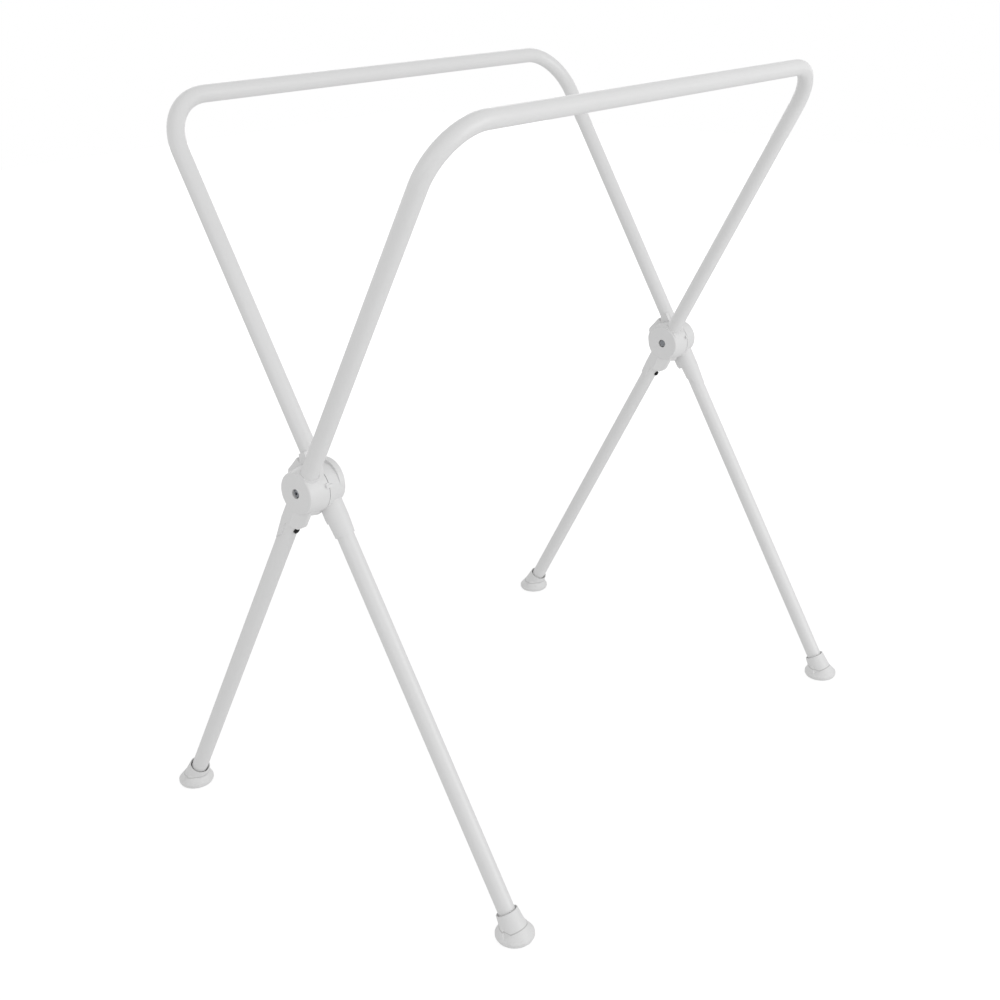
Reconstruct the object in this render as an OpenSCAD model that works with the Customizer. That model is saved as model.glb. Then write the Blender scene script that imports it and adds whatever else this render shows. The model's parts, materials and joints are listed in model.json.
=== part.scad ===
// Folding stand for a baby bath. Millimetres, +Z up, floor at z = 0.
// X runs along the two rails, the rear rail lies at +Y and the front rail at -Y.
// The front frame's tubes are the rear frame's turned half a turn about Z. In each hub the rear frame's
// half has a wing and a stop lug, and the front frame's half has the rib that the lug stops against.

/* [Stand] */
// Height of the rails' centre line above the floor
rail_height = 969; // [900:1:1000]
// Distance of each rail's centre line from the middle of the stand
rail_reach = 247; // [210:1:270]
// Height of the hinge axis above the floor
pivot_height = 525; // [490:1:550]
// Distance between the parting planes of the left and the right hinge
hinge_spacing = 784; // [600:1:900]
// Radius of the centre line of each bend at the ends of a rail
bend_radius = 70; // [50:1:110]

/* [Tube] */
// Outer diameter of the steel tube
tube_d = 22; // [20:0.5:24]
// Wall of the steel tube
tube_wall = 1.2; // [0.8:0.1:2]

/* [Hub] */
// Radius of a hub half's drum at its face
drum_radius = 26.8; // [26:0.1:30]
// Radius of the drum at the parting plane
drum_seam_radius = 30.2; // [28:0.1:32]
// Plastic between the tube and the parting plane
seam_wall = 5; // [4:0.5:8]
// Plastic in front of the tube
face_wall = 1.2; // [1:0.1:3]
// Plastic beside the tube
side_wall = 2.8; // [2.5:0.1:4]
// How far the inner half's disc stands proud of its leg socket
disc_proud = 0.8; // [0.4:0.1:1.5]
// Rounding of the drum's face edge
face_edge_round = 2; // [0.5:0.1:4]
// Gap between the two halves of a hub
seam_gap = 1; // [0.3:0.1:1.2]
// Height of the upper socket's rim above the pivot, at the face
socket_top = 28.5; // [26:0.5:32]
// Height of the upper socket's rim above the pivot, at the parting plane
socket_top_seam = 31.5; // [28:0.5:36]
// Radius of the upper socket's rim
socket_rim_r = 12.4; // [12:0.1:14]
// Height of the cradle behind the upper tube
cradle_top = 42.5; // [36:0.5:46]
// Reach of the wing beside a rear hub half's upper tube
wing_reach = 46; // [40:0.5:48]
// Angle from the upper tube to the wing's tip
wing_angle = 45; // [38:1:50]
// Angle that the wing's end takes up past its tip
wing_end_angle = 8; // [4:1:10]
// Reach of the ridge that joins the wing to the cradle
wing_ridge = 41.2; // [38:0.1:44]
// How far the shoulder beside an inner half's upper tube stands out of the drum
shoulder_rise = 4.5; // [1:0.5:6]
// Width of the shoulder along the hinge axis
shoulder_width = 8; // [5:0.5:12]
// Angle from the upper tube to a front hub half's stop face
stop_angle = 42; // [36:1:46]
// Angle that the stop rib takes up round the drum
rib_angle = 4; // [3:0.5:8]
// Angle that the stop lug takes up round the drum
lug_angle = 6; // [4:0.5:10]
// Height of the stop lug above the drum
lug_height = 2; // [1.6:0.1:4]
// How far the stop lug reaches over the other half
lug_overhang = 4.5; // [3:0.5:8]
// Distance from the pivot down to the crotch between the legs
crotch_depth = 36; // [32:0.5:38]
// Radius of the web that closes the crotch, at the parting plane
web_radius = 12; // [9:0.5:14]

/* [Leg socket] */
// Distance from the pivot to the top end of a leg tube
leg_top = 24.5; // [22:0.5:30]
// Distance from the pivot to the end of the socket's full round
collar_end = 49; // [46:1:52]
// Distance from the leg axis to the middle of the lip between the legs
lip_reach = 18; // [14:0.5:19]
// Radius of the lip's rounded edge
lip_r = 4.5; // [2.5:0.5:6]
// How far the lip draws in towards the tube at the socket's end
lip_draw = 6; // [3:0.5:8]
// Distance from the pivot to the end of the sleeve that runs on past the button
sleeve_end = 69; // [66:1:76]
// Radius of the sleeve at its end
sleeve_end_r = 12.6; // [12:0.1:13.5]
// Distance from the pivot to the tip of the outer half's tongue
tongue_end = 86; // [80:1:100]
// Distance from the pivot to the end of the spigot inside the leg
spigot_end = 84; // [76:1:100]
// Wall of the hollow spigot
spigot_wall = 2; // [1.5:0.1:2.5]

/* [Snap button] */
// Distance from the pivot to the button
button_s = 58.5; // [57:0.5:64]
// Diameter of the button
button_d = 7.6; // [5:0.1:8]
// How far the button's tip stands out of the tube
button_proud = 3.2; // [2:0.1:3.6]
// Thickness of the clip's spring strip
clip_strip = 0.6; // [0.4:0.1:0.8]
// Width of the clip's spring strip
clip_width = 5; // [3:0.5:6]

/* [Pivot] */
// Diameter of the pivot bolt
bolt_d = 6; // [5:0.5:6]
// Diameter of the bolt's head
bolt_head_d = 10.5; // [10:0.5:11]
// Height of the bolt's head
bolt_head_h = 3.3; // [2.5:0.1:3.8]
// Width of the lock nut across its flats
nut_flats = 10; // [9:0.5:10]
// Height of the lock nut
nut_h = 5; // [4:0.1:5.5]
// Diameter of the flat washer under the nut
washer_d = 12; // [11.5:0.5:12.5]
// Thickness of the flat washer
washer_h = 1.2; // [0.8:0.1:1.6]
// Depth of the recess for the bolt's head
head_recess = 4.5; // [4:0.1:5.5]
// Depth of the recess for the nut
nut_recess = 8; // [7:0.1:8.5]
// Diameter of the slip washer between the halves
slip_washer_d = 24; // [16:0.5:26]
// Thickness of the slip washer
slip_washer_h = 1.6; // [1.4:0.1:2]

/* [Frame screws] */
// Distance from the pivot to the screw that holds a frame tube
screw_s = 20; // [18.5:0.5:22]
// Diameter of the screw's shank
screw_d = 3.5; // [2.5:0.1:4]
// Diameter of the screw's countersunk head
screw_head_d = 6.8; // [5:0.1:7.5]
// Length of the screw
screw_length = 9.5; // [8:0.5:12]

/* [Foot cap] */
// Radius of the base where it is widest
foot_radius = 24.5; // [22:0.5:28]
// Radius of the flat that stands on the floor
foot_flat_radius = 19.5; // [16:0.5:22]
// Height at which the base's underside reaches its full width
foot_edge_bottom = 4.5; // [3:0.5:6]
// Height of the top of the base's upright edge
foot_edge_top = 7.5; // [4:0.5:9]
// How far the base's middle lies inwards of the point where the leg axis meets the floor
foot_inset = 5.5; // [0:0.5:7]
// Distance up the leg axis from the floor to the shoulder of the base
foot_shoulder = 13; // [10:0.5:18]
// Radius of the collar at the shoulder
foot_neck_radius = 17; // [15:0.5:18]
// Distance up the leg axis from the floor to the top of the skirt on the inner side
foot_skirt_top = 26; // [20:0.5:32]
// Distance up the leg axis from the floor to the collar's rim
foot_rim = 36.5; // [30:0.5:42]
// Radius of the collar's rim
foot_rim_radius = 14.3; // [14:0.1:16]
// Radius of the collar's mouth
foot_mouth_radius = 13.1; // [12:0.1:13.2]
// Depth of the widened mouth
foot_mouth_depth = 12; // [6:0.5:16]
// Distance up the leg axis from the floor to the end of the tube
foot_tube_end = 10; // [9:0.5:12]

/* [Hidden] */
$fn = 64;

paint_white = [0.86, 0.86, 0.86];
plastic_white = [0.80, 0.80, 0.80];
zinc = [0.62, 0.63, 0.65];
nylon = [0.75, 0.74, 0.70];
button_black = [0.05, 0.05, 0.05];

fit = 0.05;          // radial clearance of parts that sit still in each other
running_fit = 0.1;   // radial clearance of parts that turn or slide
lug_clearance = 0.4; // gap between the overhanging lug and the drum below it
stop_angle_gap = 0.2;  // play between the lug and its stop, in degrees
end_gap = 0.5;       // gap at the blind end of a socket
overlap = 1;         // how deep joined shapes of one piece run into each other
beyond = 5;          // how far a cut runs past a surface

tube_r = tube_d / 2;
bore_r = tube_r + fit;
tube_inner_r = tube_r - tube_wall;
socket_r = tube_r + side_wall;
tilt = atan2(rail_reach, rail_height - pivot_height);
rail_s = norm([rail_reach, rail_height - pivot_height]);
floor_s = pivot_height / cos(tilt);
foot_reach = pivot_height * tan(tilt);

tube_to_seam = tube_r + seam_wall;
outer_side_x = hinge_spacing / 2 + tube_to_seam;
inner_side_x = hinge_spacing / 2 - tube_to_seam;
seam_x = seam_gap / 2 - tube_to_seam;
socket_face_x = tube_r + face_wall;
outer_face_x = socket_face_x;
inner_face_x = socket_face_x + disc_proud;
lug_top_r = drum_seam_radius + lug_height;

pivot_boss = max(washer_d, bolt_head_d) / 2 + 4.5;
frame_end_s = pivot_boss + end_gap;
head_seat = tube_to_seam + outer_face_x - head_recess;
nut_seat = tube_to_seam + inner_face_x - nut_recess;
recess_r = washer_d / 2 + 0.25;
bolt_bore_r = bolt_d / 2 + running_fit;
bolt_tip = nut_seat + washer_h + nut_h + 0.5;

spigot_r = tube_inner_r - fit;
spigot_bore_r = spigot_r - spigot_wall;
spigot_bore_top = leg_top + 5;
button_tip = tube_r + button_proud;
clip_top = spigot_bore_top + 6;
clip_out = spigot_bore_r - button_proud + 0.1;
clip_back = button_proud + 0.4 - sqrt(pow(spigot_bore_r, 2) - pow(clip_width / 2, 2));
button_flange_r = button_d / 2 + 0.7;
button_flange_h = 1;
dome_h = 1.2;
dome_r = (pow(button_d / 2, 2) + dome_h * dome_h) / (2 * dome_h);

screw_sunk = 0.3;
screw_cone_h = (screw_head_d - screw_d) / 2;
slip_recess_h = (slip_washer_h - seam_gap) / 2 + fit / 2;
screw_seat_r = screw_head_d / 2 + fit + screw_sunk;
cradle_front_x = 2.3 - tube_r;
cradle_foot_y = socket_r * 0.65;
cradle_side_angle = 24;  // where the cradle's side leaves the drum
cradle_ridge_start = 2;
cradle_ridge_end = -12;
wing_root_angle = 12;
wing_slope_angle = 19;   // from the wing's ridge to its tip
wing_seam_r = wing_reach + 0.6;
wing_face_r = drum_radius - 2.5;
shoulder_angle = -45;
shoulder_set_back = 2.5;
lip_slope_h = 20;        // height over which the lip draws in
lip_end_h = 5;
web_taper = 0.65;
sleeve_edge_y = 0.5;
sleeve_edge_seam_y = 10;

// The rear frame's own axes: Z runs up its tubes from the pivot, Y points to the side between the legs
module rear_frame_axes() {
    translate([0, 0, pivot_height])
        rotate([-tilt, 0, 0])
            children();
}

module front_frame_axes() {
    rotate([0, 0, 180])
        rear_frame_axes()
            children();
}

// Z points outwards from a hub's parting plane
module hinge_axes(side) {
    translate([side * hinge_spacing / 2, 0, pivot_height])
        rotate([0, side * 90, 0])
            children();
}

// Extrudes an outline drawn in Y and Z along X
module along_x(x0, x1) {
    translate([x0, 0, 0])
        rotate([90, 0, 90])
            linear_extrude(x1 - x0)
                children();
}

// --- Steel tubes ---

module frame_rod(r, end_s) {
    for (x = [-inner_side_x, outer_side_x]) {
        translate([x, 0, end_s])
            cylinder(r = r, h = rail_s - bend_radius - end_s);
    }
    translate([bend_radius - inner_side_x, 0, rail_s])
        rotate([0, 90, 0])
            cylinder(r = r, h = inner_side_x + outer_side_x - 2 * bend_radius);
    for (end = [[bend_radius - inner_side_x, 90], [outer_side_x - bend_radius, 0]]) {
        translate([end[0], 0, rail_s - bend_radius])
            rotate([90, 0, 0])
                rotate([0, 0, end[1]])
                    rotate_extrude(angle = 90)
                        translate([bend_radius, 0])
                            circle(r = r);
    }
}

module top_frame() {
    color(paint_white)
        difference() {
            frame_rod(tube_r, frame_end_s);
            frame_rod(tube_inner_r, frame_end_s - beyond);
            for (x = [-inner_side_x, outer_side_x]) {
                translate([x - tube_r - beyond, 0, screw_s])
                    rotate([0, 90, 0])
                        cylinder(d = screw_d + 2 * fit, h = tube_r + beyond);
            }
        }
}

module leg(x) {
    color(paint_white)
        translate([x, 0, 0])
            difference() {
                translate([0, 0, foot_tube_end - floor_s])
                    cylinder(r = tube_r, h = floor_s - foot_tube_end - leg_top);
                translate([0, 0, foot_tube_end - floor_s - beyond])
                    cylinder(r = tube_inner_r, h = floor_s);
                button_hole();
            }
}

module button_hole() {
    translate([0, 0, -button_s])
        rotate([-90, 0, 0])
            cylinder(d = button_d + 2 * running_fit, h = tube_r + beyond);
}

// --- Hub halves ---

// Point in a hub's side view, at an angle from the upper tube towards the side between the legs
function at(r, angle) = [r * sin(angle), r * cos(angle)];

module drum(face_x) {
    height = face_x - seam_x;
    round = face_edge_round;
    translate([seam_x, 0, 0])
        rotate([0, 90, 0])
            rotate_extrude()
                union() {
                    polygon([
                        [0, 0],
                        [drum_seam_radius, 0],
                        [drum_radius, height - round],
                        [drum_radius - round, height],
                        [0, height]
                    ]);
                    intersection() {
                        translate([drum_radius - round, height - round])
                            circle(r = round);
                        square([drum_radius, height]);
                    }
                }
}

// Upper socket: narrows to its rim, which slants up towards the parting plane
module upper_socket() {
    intersection() {
        union() {
            cylinder(r = socket_r, h = pivot_boss);
            translate([0, 0, pivot_boss])
                cylinder(r1 = socket_r, r2 = socket_rim_r, h = socket_top_seam - pivot_boss);
        }
        rotate([90, 0, 0])
            linear_extrude(2 * socket_r, center = true)
                polygon([
                    [seam_x, 0],
                    [socket_face_x, 0],
                    [socket_face_x, socket_top],
                    [seam_x, socket_top_seam]
                ]);
    }
}

// Cradle behind the upper tube
module cradle(top) {
    along_x(seam_x, cradle_front_x)
        polygon([
            [0, 0],
            at(drum_radius, cradle_side_angle),
            at(top, cradle_ridge_start),
            at(top, cradle_ridge_end),
            [-cradle_foot_y, 0]
        ]);
}

// Wing of a rear hub half, which flares out of the drum towards the parting plane
module wing(face_x) {
    intersection() {
        along_x(seam_x, face_x)
            polygon([
                [0, 0],
                at(wing_reach - 0.5, wing_angle + wing_end_angle),
                at(wing_reach, wing_angle),
                at(wing_ridge, wing_angle - wing_slope_angle),
                at(wing_ridge, wing_root_angle)
            ]);
        translate([seam_x, 0, 0])
            rotate([0, 90, 0])
                cylinder(r1 = wing_seam_r, r2 = wing_face_r, h = face_x - seam_x);
    }
}

// Shoulder on the inner half's drum, on the side of the upper tube that faces the other half's tube
module shoulder() {
    middle = at(shoulder_rise, shoulder_angle);
    translate([inner_face_x - shoulder_set_back - shoulder_width, middle[0], middle[1]])
        rotate([0, 90, 0])
            cylinder(r = drum_radius, h = shoulder_width);
}

// Section across the leg socket: round about the tube, drawn out to a rounded lip between the legs
module leg_section() {
    lean = asin((socket_r - lip_r) / lip_reach);
    flank_r = socket_r - fit;  // the flanks are set in, so they cut the rounds cleanly
    flank_lip_r = lip_r - fit;
    intersection() {
        translate([seam_x, -socket_r])
            square([socket_face_x - seam_x, 2 * socket_r + lip_reach]);
        union() {
            circle(r = socket_r);
            translate([0, lip_reach])
                circle(r = lip_r);
            polygon([
                [-flank_r * cos(lean), flank_r * sin(lean)],
                [-flank_lip_r * cos(lean), lip_reach + flank_lip_r * sin(lean)],
                [flank_lip_r * cos(lean), lip_reach + flank_lip_r * sin(lean)],
                [flank_r * cos(lean), flank_r * sin(lean)]
            ]);
        }
    }
}

// Full round of the leg socket, with a lip that draws in towards the tube at its end
module leg_collar() {
    lip_tip = lip_reach + lip_r;
    intersection() {
        translate([0, 0, -collar_end])
            linear_extrude(collar_end)
                leg_section();
        along_x(seam_x - overlap, socket_face_x + overlap)
            polygon([
                [-socket_r - overlap, overlap],
                [lip_tip + overlap, overlap],
                [lip_tip + overlap, lip_slope_h - collar_end],
                [lip_tip - lip_draw / 3, lip_end_h - collar_end],
                [lip_tip - lip_draw, -collar_end - end_gap],
                [-socket_r - overlap, -collar_end - end_gap]
            ]);
    }
}

// Sleeve that runs on past the button on the outer side and towards the parting plane
module leg_sleeve() {
    intersection() {
        translate([0, 0, -sleeve_end])
            cylinder(r1 = sleeve_end_r, r2 = socket_r, h = sleeve_end - collar_end + overlap);
        translate([0, 0, -sleeve_end])
            linear_extrude(sleeve_end)
                polygon([
                    [seam_x, -socket_r],
                    [socket_face_x, -socket_r],
                    [socket_face_x, sleeve_edge_y],
                    [seam_x, sleeve_edge_seam_y]
                ]);
    }
}

// Tongue on the outer half that fades out down the leg's outer side
module tongue() {
    root = collar_end + overlap;
    intersection() {
        translate([0, 0, -tongue_end])
            cylinder(r1 = bore_r + 0.35, r2 = socket_r, h = tongue_end - root);
        along_x(seam_x, socket_face_x)
            polygon([
                [-socket_r, -root],
                [-socket_r, -tongue_end],
                [-tube_r * 0.8, -tongue_end],
                [sleeve_edge_y, -sleeve_end],
                [sleeve_edge_y, -root]
            ]);
    }
}

// Boss that closes the crotch straight below the pivot, tapering away from the parting plane
module web() {
    middle = at(crotch_depth - web_radius, 180 - tilt);
    translate([seam_x, middle[0], middle[1]])
        rotate([0, 90, 0])
            cylinder(r1 = web_radius, r2 = web_radius * web_taper, h = lip_r - seam_x);
}

// Ring sector round the pivot, between two angles from the upper tube
module ring_sector(r0, r1, a0, a1) {
    far = r1 / cos((a1 - a0) / 2) + overlap;
    intersection() {
        difference() {
            circle(r = r1);
            circle(r = r0);
        }
        polygon([[0, 0], at(far, a0), at(far, a1)]);
    }
}

// Lug on a rear hub half that reaches over the front one, past that half's stop rib
module stop_lug() {
    start = -2 * tilt - stop_angle - stop_angle_gap;
    along_x(seam_x, seam_x + lug_overhang)
        ring_sector(drum_radius, lug_top_r, start - lug_angle, start);
    along_x(seam_x - seam_gap - lug_overhang, seam_x + overlap)
        ring_sector(drum_seam_radius + lug_clearance, lug_top_r, start - lug_angle, start);
}

module stop_rib() {
    along_x(seam_x, seam_x + lug_overhang)
        ring_sector(drum_radius, lug_top_r, stop_angle - rib_angle, stop_angle);
}

module spigot() {
    tip = 2;
    translate([0, 0, tip - spigot_end])
        cylinder(r = spigot_r, h = spigot_end - tip - leg_top + overlap);
    translate([0, 0, -spigot_end])
        cylinder(r1 = spigot_r - 1, r2 = spigot_r, h = tip);
}

module screw_hole() {
    translate([seam_x - overlap, 0, screw_s])
        rotate([0, 90, 0])
            cylinder(d = screw_d + 2 * fit, h = seam_wall + beyond);
    translate([seam_x, 0, screw_s])
        rotate([0, 90, 0])
            cylinder(r1 = screw_seat_r, r2 = screw_d / 2 + fit, h = screw_cone_h + screw_sunk);
    translate([seam_x - overlap, 0, screw_s])
        rotate([0, 90, 0])
            cylinder(r = screw_seat_r, h = overlap);
}

module hub_half(face_x, is_outer, is_rear, recess_depth) {
    color(plastic_white)
        difference() {
            union() {
                difference() {
                    union() {
                        drum(face_x);
                        upper_socket();
                        leg_collar();
                        leg_sleeve();
                        web();
                        if (is_outer)
                            tongue();
                        else
                            shoulder();
                        if (is_rear) {
                            cradle(cradle_top + 1);
                            wing(face_x);
                            stop_lug();
                        } else {
                            cradle(cradle_top);
                            stop_rib();
                        }
                    }
                    translate([0, 0, pivot_boss])
                        cylinder(r = bore_r, h = cradle_top);
                    translate([0, 0, -tongue_end - beyond])
                        cylinder(r = bore_r, h = tongue_end + beyond - leg_top + end_gap);
                }
                spigot();
            }
            translate([0, 0, -spigot_end - beyond])
                cylinder(r = spigot_bore_r, h = spigot_end + beyond - spigot_bore_top);
            button_hole();
            screw_hole();
            rotate([0, 90, 0]) {
                translate([0, 0, seam_x - beyond])
                    cylinder(r = bolt_bore_r, h = tube_d + 4 * beyond);
                translate([0, 0, face_x - recess_depth])
                    cylinder(r = recess_r, h = recess_depth + beyond);
                translate([0, 0, seam_x - beyond])
                    cylinder(d = slip_washer_d + 2 * running_fit, h = beyond + slip_recess_h);
            }
        }
}

module outer_half(is_rear) {
    translate([outer_side_x, 0, 0])
        hub_half(outer_face_x, true, is_rear, head_recess);
}

module inner_half(is_rear) {
    translate([-inner_side_x, 0, 0])
        hub_half(inner_face_x, false, is_rear, nut_recess);
}

// --- Pivot hardware, along the hinge axis with the bolt's head outwards ---

module pivot_bolt(side) {
    socket_depth = bolt_head_h - 0.8;
    color(zinc)
        hinge_axes(side)
            difference() {
                union() {
                    translate([0, 0, -bolt_tip])
                        cylinder(d = bolt_d, h = bolt_tip + head_seat + overlap);
                    translate([0, 0, head_seat])
                        cylinder(d = bolt_head_d, h = bolt_head_h - 1);
                    translate([0, 0, head_seat + bolt_head_h - 1])
                        cylinder(d1 = bolt_head_d, d2 = bolt_head_d - 3, h = 1);
                }
                translate([0, 0, head_seat + bolt_head_h - socket_depth])
                    cylinder(d = 4.6, h = socket_depth + overlap, $fn = 6);
            }
}

module lock_nut(side) {
    collar_h = 1.2;
    color(zinc)
        hinge_axes(side)
            translate([0, 0, -nut_seat - washer_h - nut_h])
                difference() {
                    union() {
                        translate([0, 0, collar_h])
                            cylinder(d = nut_flats / cos(30), h = nut_h - collar_h, $fn = 6);
                        cylinder(d = nut_flats - 1, h = collar_h + overlap);
                    }
                    translate([0, 0, -overlap])
                        cylinder(d = bolt_d + 2 * fit, h = nut_h + 2 * overlap);
                }
}

module nut_washer(side) {
    color(zinc)
        hinge_axes(side)
            translate([0, 0, -nut_seat - washer_h])
                difference() {
                    cylinder(d = washer_d, h = washer_h);
                    translate([0, 0, -overlap])
                        cylinder(r = bolt_bore_r + running_fit, h = washer_h + 2 * overlap);
                }
}

module slip_washer(side) {
    color(nylon)
        hinge_axes(side)
            translate([0, 0, -slip_washer_h / 2])
                difference() {
                    cylinder(d = slip_washer_d, h = slip_washer_h);
                    translate([0, 0, -overlap])
                        cylinder(r = bolt_bore_r + running_fit, h = slip_washer_h + 2 * overlap);
                }
}

// Countersunk screws through the parting faces into the frame's tube ends
module frame_screws() {
    color(zinc)
        for (x = [-inner_side_x, outer_side_x]) {
            translate([x + seam_x + screw_sunk, 0, screw_s])
                rotate([0, 90, 0]) {
                    cylinder(d1 = screw_head_d, d2 = screw_d, h = screw_cone_h);
                    cylinder(d = screw_d, h = screw_length);
                }
        }
}

// --- Snap buttons on their spring clips ---

module snap_button(x) {
    stem = button_tip - dome_h - clip_out;
    color(button_black)
        translate([x, clip_out, -button_s])
            rotate([-90, 0, 0]) {
                cylinder(r = button_flange_r, h = button_flange_h);
                cylinder(d = button_d, h = stem);
                translate([0, 0, stem])
                    intersection() {
                        cylinder(d = button_d, h = dome_h);
                        translate([0, 0, dome_h - dome_r])
                            sphere(r = dome_r);
                    }
            }
}

module snap_clip(x) {
    bend_r = (clip_out - clip_back) / 2;
    arm_end = button_s + button_d;
    color(zinc)
        translate([x, 0, 0])
            along_x(-clip_width / 2, clip_width / 2) {
                for (y = [clip_back, clip_out - clip_strip]) {
                    translate([y, -arm_end])
                        square([clip_strip, arm_end - clip_top]);
                }
                translate([clip_back + bend_r, -clip_top])
                    difference() {
                        circle(r = bend_r);
                        circle(r = bend_r - clip_strip);
                        translate([-bend_r - overlap, -bend_r - overlap])
                            square([2 * bend_r + 2 * overlap, bend_r + overlap]);
                    }
            }
}

// --- Foot caps: a round base on the floor, a collar round the end of the leg ---

module foot_base() {
    bulge_h = foot_edge_bottom * 0.4;
    translate([0, foot_inset, 0]) {
        cylinder(r1 = foot_flat_radius, r2 = foot_radius - 1.5, h = bulge_h, $fn = 48);
        translate([0, 0, foot_edge_bottom])
            cylinder(r = foot_radius, h = foot_edge_top - foot_edge_bottom, $fn = 48);
    }
}

// Fills the angle under the leaning collar, on the side towards the middle of the stand
module foot_skirt() {
    intersection() {
        hull() {
            foot_base();
            rotate([-tilt, 0, 0])
                translate([0, 0, foot_skirt_top - 1])
                    cylinder(r = foot_rim_radius, h = 1, $fn = 48);
        }
        rotate([-tilt, 0, 0])
            translate([-foot_radius - beyond, 0, -foot_rim])
                cube([2 * (foot_radius + beyond), 2 * (foot_radius + foot_inset), 2 * foot_rim]);
    }
}

module foot(x) {
    collar_h = foot_rim - foot_shoulder + overlap;
    color(plastic_white)
        translate([x, -foot_reach, 0])
            difference() {
                union() {
                    hull() {
                        foot_base();
                        rotate([-tilt, 0, 0])
                            translate([0, 0, foot_shoulder - 1])
                                cylinder(r = foot_neck_radius, h = 1, $fn = 48);
                    }
                    foot_skirt();
                    rotate([-tilt, 0, 0])
                        translate([0, 0, foot_shoulder - overlap])
                            cylinder(r1 = foot_neck_radius, r2 = foot_rim_radius, h = collar_h);
                }
                rotate([-tilt, 0, 0]) {
                    translate([0, 0, foot_tube_end - end_gap])
                        cylinder(r = bore_r, h = foot_rim);
                    translate([0, 0, foot_rim - foot_mouth_depth])
                        cylinder(r1 = bore_r, r2 = foot_mouth_radius, h = foot_mouth_depth);
                    translate([0, 0, foot_rim - 0.01])
                        cylinder(r = foot_mouth_radius, h = beyond);
                }
            }
}

rear_frame_axes() top_frame();  // rear_top_frame
front_frame_axes() top_frame();  // front_top_frame
rear_frame_axes() leg(-inner_side_x);  // rear_frame_left_leg
rear_frame_axes() leg(outer_side_x);  // rear_frame_right_leg
front_frame_axes() leg(outer_side_x);  // front_frame_left_leg
front_frame_axes() leg(-inner_side_x);  // front_frame_right_leg
front_frame_axes() outer_half(false);  // left_hub_outer_half
rear_frame_axes() inner_half(true);  // left_hub_inner_half
rear_frame_axes() outer_half(true);  // right_hub_outer_half
front_frame_axes() inner_half(false);  // right_hub_inner_half
pivot_bolt(-1);  // left_pivot_bolt
pivot_bolt(1);  // right_pivot_bolt
lock_nut(-1);  // left_lock_nut
lock_nut(1);  // right_lock_nut
nut_washer(-1);  // left_nut_washer
nut_washer(1);  // right_nut_washer
slip_washer(-1);  // left_slip_washer
slip_washer(1);  // right_slip_washer
rear_frame_axes() frame_screws();  // rear_frame_screws
front_frame_axes() frame_screws();  // front_frame_screws
rear_frame_axes() snap_button(-inner_side_x);  // rear_left_snap_button
rear_frame_axes() snap_button(outer_side_x);  // rear_right_snap_button
front_frame_axes() snap_button(outer_side_x);  // front_left_snap_button
front_frame_axes() snap_button(-inner_side_x);  // front_right_snap_button
rear_frame_axes() snap_clip(-inner_side_x);  // rear_left_snap_clip
rear_frame_axes() snap_clip(outer_side_x);  // rear_right_snap_clip
front_frame_axes() snap_clip(outer_side_x);  // front_left_snap_clip
front_frame_axes() snap_clip(-inner_side_x);  // front_right_snap_clip
foot(-inner_side_x);  // rear_frame_left_foot
foot(outer_side_x);  // rear_frame_right_foot
rotate([0, 0, 180]) foot(outer_side_x);  // front_frame_left_foot
rotate([0, 0, 180]) foot(-inner_side_x);  // front_frame_right_foot
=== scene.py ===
"""Looks of the folding baby bath stand.

Powder-coated tubes, moulded white hubs and feet, zinc fittings and plain studio light. Every shape of the
stand is the CAD's own.
"""
import json

import bmesh
import bpy
from mathutils import Matrix, Vector

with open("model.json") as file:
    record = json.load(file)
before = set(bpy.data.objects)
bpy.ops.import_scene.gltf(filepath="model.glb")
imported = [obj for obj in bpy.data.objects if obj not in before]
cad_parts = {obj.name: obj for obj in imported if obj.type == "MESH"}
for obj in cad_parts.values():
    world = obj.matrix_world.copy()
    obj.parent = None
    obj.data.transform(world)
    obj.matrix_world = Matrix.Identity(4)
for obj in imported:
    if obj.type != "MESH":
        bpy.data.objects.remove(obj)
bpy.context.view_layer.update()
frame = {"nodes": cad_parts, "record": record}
scene = bpy.context.scene


# --- Node helpers ---

# Where a Mix node keeps its factor, its two colours and their blend.
MIX_FACTOR, MIX_COLOUR, MIX_OTHER_COLOUR, MIX_BLEND = 0, 6, 7, 2


def add_node(tree, kind, inputs=None, **settings):
    """A new node with its settings. Each input is given a plain value or another node's output."""
    node = tree.nodes.new(kind)
    for name, value in settings.items():
        setattr(node, name, value)
    for socket, value in (inputs or {}).items():
        if isinstance(value, bpy.types.NodeSocket):
            tree.links.new(value, node.inputs[socket])
        else:
            node.inputs[socket].default_value = value
    return node


def reckon(tree, operation, *values, clamp=False):
    """One step of arithmetic on plain numbers or the outputs of other nodes."""
    step = add_node(tree, "ShaderNodeMath", dict(enumerate(values)), operation=operation, use_clamp=clamp)
    return step.outputs[0]


def remap(tree, value, start, end=(0.0, 1.0), **settings):
    """The value moved from the range `start` to the range `end`, and held inside it."""
    inputs = {"Value": value, "From Min": start[0], "From Max": start[1], "To Min": end[0], "To Max": end[1]}
    return add_node(tree, "ShaderNodeMapRange", inputs, **settings).outputs["Result"]


def object_place(tree):
    """The point on the piece in the stand's own frame, in metres."""
    return add_node(tree, "ShaderNodeTexCoord").outputs["Object"]


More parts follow.
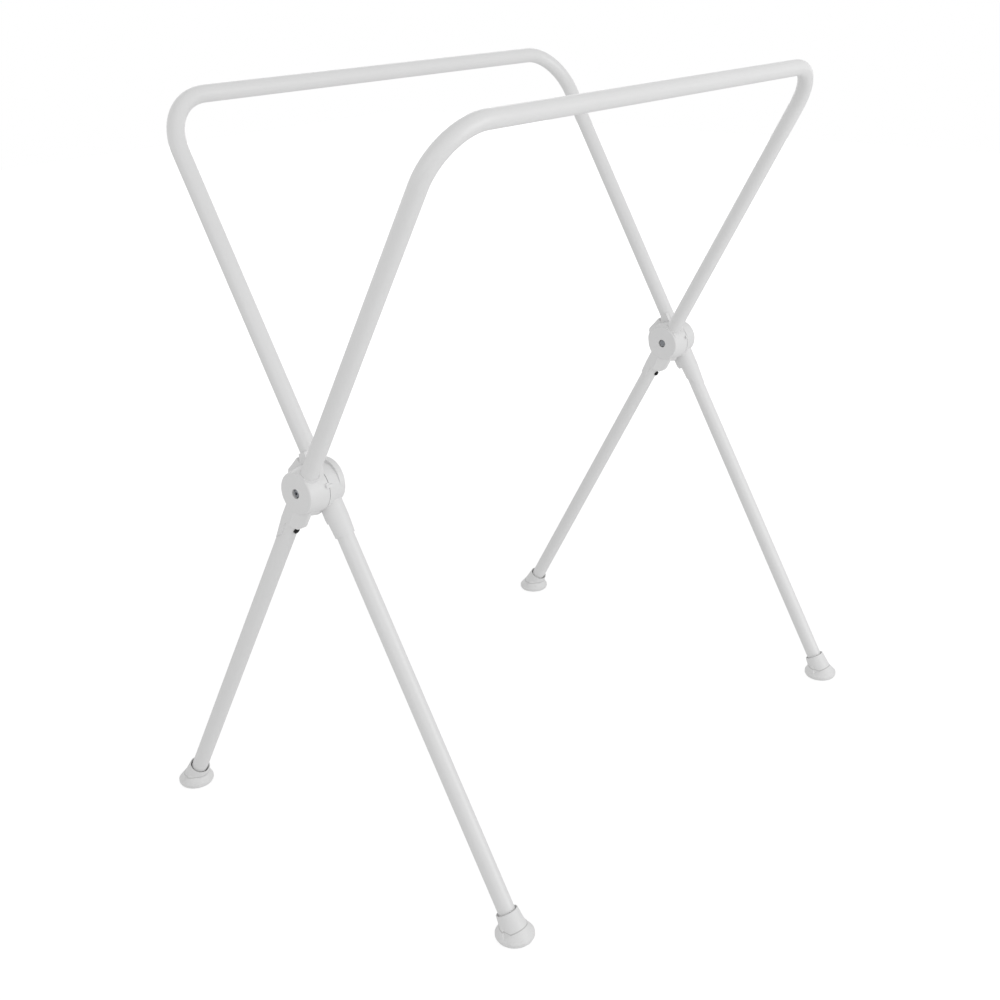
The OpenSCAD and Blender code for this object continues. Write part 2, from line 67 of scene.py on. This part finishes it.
def new_group(name, inputs, outputs):
    """A shader node group, the sockets that it is given and the sockets that it fills.

    An input is named with its usual value, a number or a colour, and an output with its kind of socket.
    """
    tree = bpy.data.node_groups.new(name, "ShaderNodeTree")
    for label, usual in inputs.items():
        kind = "NodeSocketColor" if isinstance(usual, tuple) else "NodeSocketFloat"
        socket = tree.interface.new_socket(label, in_out="INPUT", socket_type=kind)
        socket.default_value = usual
    for label, kind in outputs.items():
        tree.interface.new_socket(label, in_out="OUTPUT", socket_type=kind)
    return tree, tree.nodes.new("NodeGroupInput").outputs, tree.nodes.new("NodeGroupOutput").inputs


def place_group(tree, group, **inputs):
    """A shared effect placed in a material, with its own values."""
    return add_node(tree, "ShaderNodeGroup", inputs, node_tree=group)


# --- Effects that several finishes share ---

# A leg runs this far outwards and this far up for each metre of its length, and its centre line meets the
# floor this far from the middle of the stand.
LEG_OUT, LEG_UP = 0.4861442, 0.8738786
LEG_FOOT_Y = 0.29206

# The painted shade line in the crease under a foot's collar turns up from this far behind the leg's centre
# line, this steeply. In front is the side that the leg leans to.
CREASE_CORNER, CREASE_SLOPE = 0.008, 0.69


def make_mottle_group():
    """Slow change of tone and gloss over a surface: a broad noise with a finer one laid over it."""
    finer, fine_share = 7.0, 0.4
    tree, given, result = new_group(
        "slow_mottle",
        {"Size": 0.05, "Colour": (0.8, 0.8, 0.8, 1), "Tone": 0.02, "Gloss": 0.3, "Spread": 0.05},
        {"Colour": "NodeSocketColor", "Roughness": "NodeSocketFloat"})
    place = object_place(tree)
    scale = reckon(tree, "DIVIDE", 1.0, given["Size"])
    fine_scale = reckon(tree, "MULTIPLY", scale, finer)
    broad = add_node(tree, "ShaderNodeTexNoise",
                     {"Vector": place, "Scale": scale, "Detail": 3.0, "Roughness": 0.55})
    fine = add_node(tree, "ShaderNodeTexNoise",
                    {"Vector": place, "Scale": fine_scale, "Detail": 4.0, "Roughness": 0.6})
    both = reckon(tree, "MULTIPLY_ADD", fine.outputs["Fac"], fine_share, broad.outputs["Fac"])
    swing = reckon(tree, "SUBTRACT", both, 0.5 * (1 + fine_share))
    tone = reckon(tree, "MULTIPLY_ADD", swing, given["Tone"], 1.0)
    tinted = add_node(tree, "ShaderNodeVectorMath", {0: given["Colour"], "Scale": tone}, operation="SCALE")
    gloss = reckon(tree, "MULTIPLY_ADD", swing, given["Spread"], given["Gloss"])
    tree.links.new(tinted.outputs[0], result["Colour"])
    tree.links.new(gloss, result["Roughness"])
    return tree


def make_edge_wear_and_highlight_group():
    """Worn and painted-highlight edges: where a rounded-off normal turns from the true one, broken up by noise."""
    tree, given, result = new_group(
        "edge_wear_and_highlight", {"Width": 0.0008, "Amount": 0.5}, {"Mask": "NodeSocketFloat"})
    true_normal = add_node(tree, "ShaderNodeNewGeometry").outputs["Normal"]
    rounded = add_node(tree, "ShaderNodeBevel", {"Radius": given["Width"]}, samples=4).outputs["Normal"]
    turn = add_node(tree, "ShaderNodeVectorMath", {0: true_normal, 1: rounded}, operation="DOT_PRODUCT")
    sharp = remap(tree, turn.outputs["Value"], (0.98, 0.8))
    rub = add_node(tree, "ShaderNodeTexNoise",
                   {"Vector": object_place(tree), "Scale": 160.0, "Detail": 5.0, "Roughness": 0.65})
    patchy = remap(tree, rub.outputs["Fac"], (0.35, 0.65), (0.2, 1.0))
    worn = reckon(tree, "MULTIPLY", sharp, patchy)
    tree.links.new(reckon(tree, "MULTIPLY", worn, given["Amount"], clamp=True), result["Mask"])
    return tree


def make_grain_group():
    """Height of a fine skin: orange peel of powder coat, the spark grain of a mould, or lines across X."""
    tree, given, result = new_group(
        "skin_grain", {"Size": 0.001, "Stretch": 1.0}, {"Height": "NodeSocketFloat"})
    stretch = add_node(tree, "ShaderNodeCombineXYZ", {"X": given["Stretch"], "Y": 1.0, "Z": 1.0})
    squeezed = add_node(tree, "ShaderNodeVectorMath", {0: object_place(tree), 1: stretch.outputs[0]},
                        operation="MULTIPLY")
    scale = reckon(tree, "DIVIDE", 1.0, given["Size"])
    pimples = add_node(tree, "ShaderNodeTexNoise",
                       {"Vector": squeezed.outputs[0], "Scale": scale, "Detail": 2.0, "Roughness": 0.5})
    tree.links.new(pimples.outputs["Fac"], result["Height"])
    return tree


def make_scuff_group():
    """Mask of thin rubbed streaks and specks, gathered between two heights above the floor."""
    tree, given, result = new_group(
        "scuffs", {"Bottom": 0.0, "Top": 0.03, "Amount": 0.5}, {"Mask": "NodeSocketFloat"})
    place = object_place(tree)
    height = add_node(tree, "ShaderNodeSeparateXYZ", {0: place}).outputs["Z"]
    low = remap(tree, height, (given["Bottom"], given["Top"]), (1.0, 0.0))
    streaks = add_node(tree, "ShaderNodeTexNoise",
                       {"Vector": place, "Scale": 220.0, "Detail": 6.0, "Roughness": 0.7, "Distortion": 1.5})
    spots = remap(tree, streaks.outputs["Fac"], (0.48, 0.7))
    marks = reckon(tree, "MULTIPLY", low, spots)
    tree.links.new(reckon(tree, "MULTIPLY", marks, given["Amount"], clamp=True), result["Mask"])
    return tree


def make_crease_shade_group():
    """Mask of the painted shade line where a foot's collar meets its base: level behind the leg, rising in front
    of it.
    """
    tree, given, result = new_group(
        "collar_crease_shade", {"Rise": 0.013, "Width": 0.001, "Amount": 0.5}, {"Mask": "NodeSocketFloat"})
    one_side = add_node(tree, "ShaderNodeVectorMath", {0: object_place(tree)}, operation="ABSOLUTE").outputs[0]
    along = add_node(tree, "ShaderNodeVectorMath", {0: one_side, 1: (0, -LEG_OUT, LEG_UP)},
                     operation="DOT_PRODUCT").outputs["Value"]
    across = add_node(tree, "ShaderNodeVectorMath", {0: one_side, 1: (0, -LEG_UP, -LEG_OUT)},
                      operation="DOT_PRODUCT").outputs["Value"]
    up_the_leg = reckon(tree, "ADD", along, LEG_OUT * LEG_FOOT_Y)
    past_corner = reckon(tree, "ADD", across, LEG_UP * LEG_FOOT_Y + CREASE_CORNER)
    in_front = reckon(tree, "MAXIMUM", past_corner, 0.0)
    levelled = reckon(tree, "MULTIPLY_ADD", in_front, -CREASE_SLOPE, up_the_leg)
    away = reckon(tree, "ABSOLUTE", reckon(tree, "SUBTRACT", levelled, given["Rise"]))
    line = remap(tree, away, (0.0, given["Width"]), (1.0, 0.0), interpolation_type="SMOOTHSTEP")
    tree.links.new(reckon(tree, "MULTIPLY", line, given["Amount"], clamp=True), result["Mask"])
    return tree


mottle = make_mottle_group()
edge_wear_and_highlight = make_edge_wear_and_highlight_group()
skin_grain = make_grain_group()
scuffs = make_scuff_group()
collar_crease_shade = make_crease_shade_group()


# --- Finishes ---

# Sizes in metres: patches of slow tone change, rubbed and painted-highlight edges, drawn lines and their depth.
COAT_MOTTLE, STEEL_MOTTLE = 0.12, 0.006
COAT_EDGE, STEEL_EDGE = 0.0009, 0.0004
STEEL_LINES, STEEL_LINE_DEPTH = 0.0004, 0.00004

# The painted crease shade lies this far up the leg from the floor, with this half width.
CREASE_RISE, CREASE_WIDTH = 0.0130, 0.0011

# Rubbing polishes an edge and dust dulls a surface by this much roughness.
EDGE_POLISH, DUST_DULLING = -0.08, 0.25

DUST_TONE = (0.45, 0.43, 0.40)
# Tone of the painted shade line in a foot's collar crease.
CREASE_SHADE_TONE = (0.40, 0.40, 0.39)
BARE_STEEL_AND_GLINT_TONE = (0.82, 0.82, 0.84)


def grey(level):
    """A neutral tone."""
    return (level, level, level)


def new_finish(name):
    """A material with its shader and output only."""
    material = bpy.data.materials.new(name)
    material.use_nodes = True
    tree = material.node_tree
    return material, tree, tree.nodes["Principled BSDF"]


def blend_colour(tree, mask, colour, masked_tone):
    """The colour, going to the masked tone where the mask is 1."""
    inputs = {MIX_FACTOR: mask, MIX_COLOUR: colour, MIX_OTHER_COLOUR: (*masked_tone, 1)}
    return add_node(tree, "ShaderNodeMix", inputs, data_type="RGBA").outputs[MIX_BLEND]


def raise_value(tree, value, mask, amount):
    """The value, plus the amount where the mask is 1."""
    return reckon(tree, "MULTIPLY_ADD", mask, amount, value, clamp=True)


def join_shader(tree, shader, colour, rough, grain, strength, depth):
    """Colour, roughness and the bump of a grain joined to the shader."""
    bump = add_node(tree, "ShaderNodeBump",
                    {"Height": grain.outputs["Height"], "Strength": strength, "Distance": depth})
    tree.links.new(colour, shader.inputs["Base Color"])
    tree.links.new(rough, shader.inputs["Roughness"])
    tree.links.new(bump.outputs["Normal"], shader.inputs["Normal"])


def coated_finish(name, tone, worn_and_lit_tone, tone_change, gloss, gloss_spread, grain_size, grain_depth,
                  wear=0.5, dust=0.0, dust_top=0.0, crease_shade=0.0, coat=0.0, shine=0.4):
    """Powder coat or moulded plastic: mottled tone and gloss, skin grain, rubbed edges with a painted highlight,
    dust near the floor and a painted shade line in a foot's collar crease.
    """
    material, tree, shader = new_finish(name)
    ground = place_group(tree, mottle, Size=COAT_MOTTLE, Colour=(*tone, 1), Tone=tone_change,
                         Gloss=gloss, Spread=gloss_spread)
    edges = place_group(tree, edge_wear_and_highlight, Width=COAT_EDGE, Amount=wear).outputs["Mask"]
    # Edges go to a lighter worn tone: rubbed wear and a painted edge highlight.
    colour = blend_colour(tree, edges, ground.outputs["Colour"], worn_and_lit_tone)
    rough = raise_value(tree, ground.outputs["Roughness"], edges, EDGE_POLISH)
    if dust:
        dusty = place_group(tree, scuffs, Top=dust_top, Amount=dust).outputs["Mask"]
        colour = blend_colour(tree, dusty, colour, DUST_TONE)
        rough = raise_value(tree, rough, dusty, DUST_DULLING)
    # Painted shade: a darker line along the crease where a foot's collar meets its base.
    if crease_shade:
        line = place_group(tree, collar_crease_shade, Rise=CREASE_RISE, Width=CREASE_WIDTH, Amount=crease_shade)
        colour = blend_colour(tree, line.outputs["Mask"], colour, CREASE_SHADE_TONE)
    grain = place_group(tree, skin_grain, Size=grain_size)
    join_shader(tree, shader, colour, rough, grain, strength=0.5, depth=grain_depth)
    shader.inputs["Specular IOR Level"].default_value = shine
    shader.inputs["Coat Weight"].default_value = coat
    shader.inputs["Coat Roughness"].default_value = 0.12
    return material


def steel_finish(name, tone, gloss, stretch):
    """Zinc-plated or spring steel: patchy tone, gloss, drawn lines, bright edges of bare steel and painted glint.
    """
    material, tree, shader = new_finish(name)
    ground = place_group(tree, mottle, Size=STEEL_MOTTLE, Colour=(*tone, 1), Tone=0.25, Gloss=gloss, Spread=0.25)
    edges = place_group(tree, edge_wear_and_highlight, Width=STEEL_EDGE, Amount=0.8).outputs["Mask"]
    # Edges go bright: rubbed bare steel and a painted glint.
    colour = blend_colour(tree, edges, ground.outputs["Colour"], BARE_STEEL_AND_GLINT_TONE)
    lines = place_group(tree, skin_grain, Size=STEEL_LINES, Stretch=stretch)
    join_shader(tree, shader, colour, ground.outputs["Roughness"], lines, strength=0.4, depth=STEEL_LINE_DEPTH)
    shader.inputs["Metallic"].default_value = 1.0
    return material


# One finish for each material slot of the record.
finishes = {
    "painted_tube": coated_finish(
        "powder_coat_white", tone=grey(0.80), worn_and_lit_tone=grey(0.88), tone_change=0.03,
        gloss=0.30, gloss_spread=0.10, grain_size=0.0014, grain_depth=0.00008,
        dust=0.25, dust_top=0.05, coat=0.08),
    "hub_plastic": coated_finish(
        "moulded_hub_white", tone=grey(0.80), worn_and_lit_tone=grey(0.90), tone_change=0.05,
        gloss=0.42, gloss_spread=0.12, grain_size=0.0006, grain_depth=0.00005),
    "foot_plastic": coated_finish(
        "moulded_foot_white", tone=grey(0.79), worn_and_lit_tone=grey(0.89), tone_change=0.06,
        gloss=0.45, gloss_spread=0.12, grain_size=0.0007, grain_depth=0.00006,
        dust=0.35, dust_top=0.02, crease_shade=0.7),
    "button_plastic": coated_finish(
        "button_black", tone=grey(0.008), worn_and_lit_tone=grey(0.03), tone_change=0.3,
        gloss=0.36, gloss_spread=0.15, grain_size=0.0005, grain_depth=0.00004, shine=0.2),
    # Zinc tone well below bright zinc plate: part blackened steel, part painted shade of the deep bolt recesses.
    "zinc_steel": steel_finish("zinc_plate", tone=(0.30, 0.31, 0.33), gloss=0.22, stretch=3.0),
    "spring_steel": steel_finish("spring_strip", tone=(0.48, 0.49, 0.51), gloss=0.34, stretch=8.0),
    "nylon_washer": coated_finish(
        "natural_nylon", tone=(0.72, 0.70, 0.64), worn_and_lit_tone=(0.80, 0.78, 0.73), tone_change=0.06,
        gloss=0.40, gloss_spread=0.12, grain_size=0.0006, grain_depth=0.00004),
}

for subpart in frame["record"]["subparts"]:
    node = frame["nodes"][subpart["node"]]
    node.data.materials.clear()
    node.data.materials.append(finishes[subpart["material_slot"]])


# --- Floor, light and camera ---

# Half the floor's side, and the distances from the stand between which it fades to plain white.
FLOOR_REACH = 6.0
FADE_START, FADE_END = 0.5, 2.2

# How strongly the floor glows near the stand, far from it, and towards the stand itself.
GLOW_NEAR, GLOW_FAR, GLOW_ON_STAND = 0.79, 1.0, 0.42

AMBIENT = 0.60

# Square lamps that look at the middle of the stand: place, side in metres, power in watts.
LAMP_TARGET = Vector((0, 0, 0.5))
SOFTBOXES = {
    "key_softbox": ((0.9, -2.9, 1.1), 2.2, 27.0),
    "fill_softbox": ((-2.8, -0.9, 1.6), 2.2, 11.0),
    "top_softbox": ((0.3, -0.2, 3.2), 2.0, 2.0),
    "back_softbox": ((2.2, 2.5, 1.4), 2.2, 8.0),
}

# The photograph's view, solved from the edges of the tubes.
CAMERA_PLACE = (-1.3902, -1.1545, 1.1338)
CAMERA_RIGHT = (0.637673, -0.769939, -0.023808)
CAMERA_UP = (0.270024, 0.194478, 0.943009)
CAMERA_BACK = (-0.721429, -0.60776, 0.331916)
SENSOR_MM, LENS_MM = 36.0, 48.5
LENS_SHIFT_X, LENS_SHIFT_Y = -0.0105, -0.0795


def make_floor():
    """Pale floor that keeps the soft shadow, fades to plain white further out and lights the undersides."""
    mesh = bpy.data.meshes.new("studio_floor")
    shape = bmesh.new()
    bmesh.ops.create_grid(shape, x_segments=1, y_segments=1, size=FLOOR_REACH)
    shape.to_mesh(mesh)
    shape.free()
    floor = bpy.data.objects.new("studio_floor", mesh)
    scene.collection.objects.link(floor)
    material, tree, shader = new_finish("studio_paper")
    shader.inputs["Base Color"].default_value = (*grey(0.32), 1)
    shader.inputs["Roughness"].default_value = 0.9
    shader.inputs["Specular IOR Level"].default_value = 0.1
    distance = add_node(tree, "ShaderNodeVectorMath", {0: object_place(tree)}, operation="LENGTH")
    fade = remap(tree, distance.outputs["Value"], (FADE_START, FADE_END), (GLOW_NEAR, GLOW_FAR))
    seen = add_node(tree, "ShaderNodeLightPath").outputs["Is Camera Ray"]
    level = add_node(tree, "ShaderNodeMix", {"Factor": seen, "A": GLOW_ON_STAND, "B": fade}).outputs["Result"]
    glow = add_node(tree, "ShaderNodeEmission", {"Color": (1, 1, 1, 1), "Strength": level})
    both = add_node(tree, "ShaderNodeAddShader", {0: shader.outputs[0], 1: glow.outputs[0]})
    tree.links.new(both.outputs[0], tree.nodes["Material Output"].inputs["Surface"])
    mesh.materials.append(material)


def make_surroundings():
    """Even studio light all round, and plain white where the camera or a reflection looks past the stand."""
    world = bpy.data.worlds.new("studio")
    scene.world = world
    world.use_nodes = True
    tree = world.node_tree
    ambient = tree.nodes["Background"]
    ambient.inputs["Color"].default_value = (1, 1, 1, 1)
    ambient.inputs["Strength"].default_value = AMBIENT
    white = add_node(tree, "ShaderNodeBackground", {"Color": (1, 1, 1, 1), "Strength": 1.0})
    path = add_node(tree, "ShaderNodeLightPath").outputs
    seen = reckon(tree, "MAXIMUM", path["Is Camera Ray"], path["Is Glossy Ray"])
    seen = reckon(tree, "MAXIMUM", seen, path["Is Transmission Ray"])
    mix = add_node(tree, "ShaderNodeMixShader", {0: seen, 1: ambient.outputs[0], 2: white.outputs[0]})
    tree.links.new(mix.outputs[0], tree.nodes["World Output"].inputs["Surface"])


def add_softbox(name, place, side, watts):
    """A square area lamp that looks at the middle of the stand."""
    lamp = bpy.data.lights.new(name, "AREA")
    lamp.size = side
    lamp.energy = watts
    holder = bpy.data.objects.new(name, lamp)
    holder.location = place
    aim = LAMP_TARGET - Vector(place)
    holder.rotation_euler = aim.to_track_quat("-Z", "Y").to_euler()
    scene.collection.objects.link(holder)


def make_camera():
    """The photograph's view: 1.9 m from the middle of the stand, at its left front, looking down on it."""
    lens = bpy.data.cameras.new("camera")
    lens.sensor_width = SENSOR_MM
    lens.lens = LENS_MM
    lens.shift_x = LENS_SHIFT_X
    lens.shift_y = LENS_SHIFT_Y
    lens.clip_start = 0.05
    camera = bpy.data.objects.new("camera", lens)
    turn = Matrix((CAMERA_RIGHT, CAMERA_UP, CAMERA_BACK)).transposed().to_4x4()
    camera.matrix_world = Matrix.Translation(CAMERA_PLACE) @ turn
    scene.collection.objects.link(camera)
    scene.camera = camera


make_floor()
make_surroundings()
for name, (place, side, watts) in SOFTBOXES.items():
    add_softbox(name, place, side, watts)
make_camera()
scene.view_settings.view_transform = "Standard"
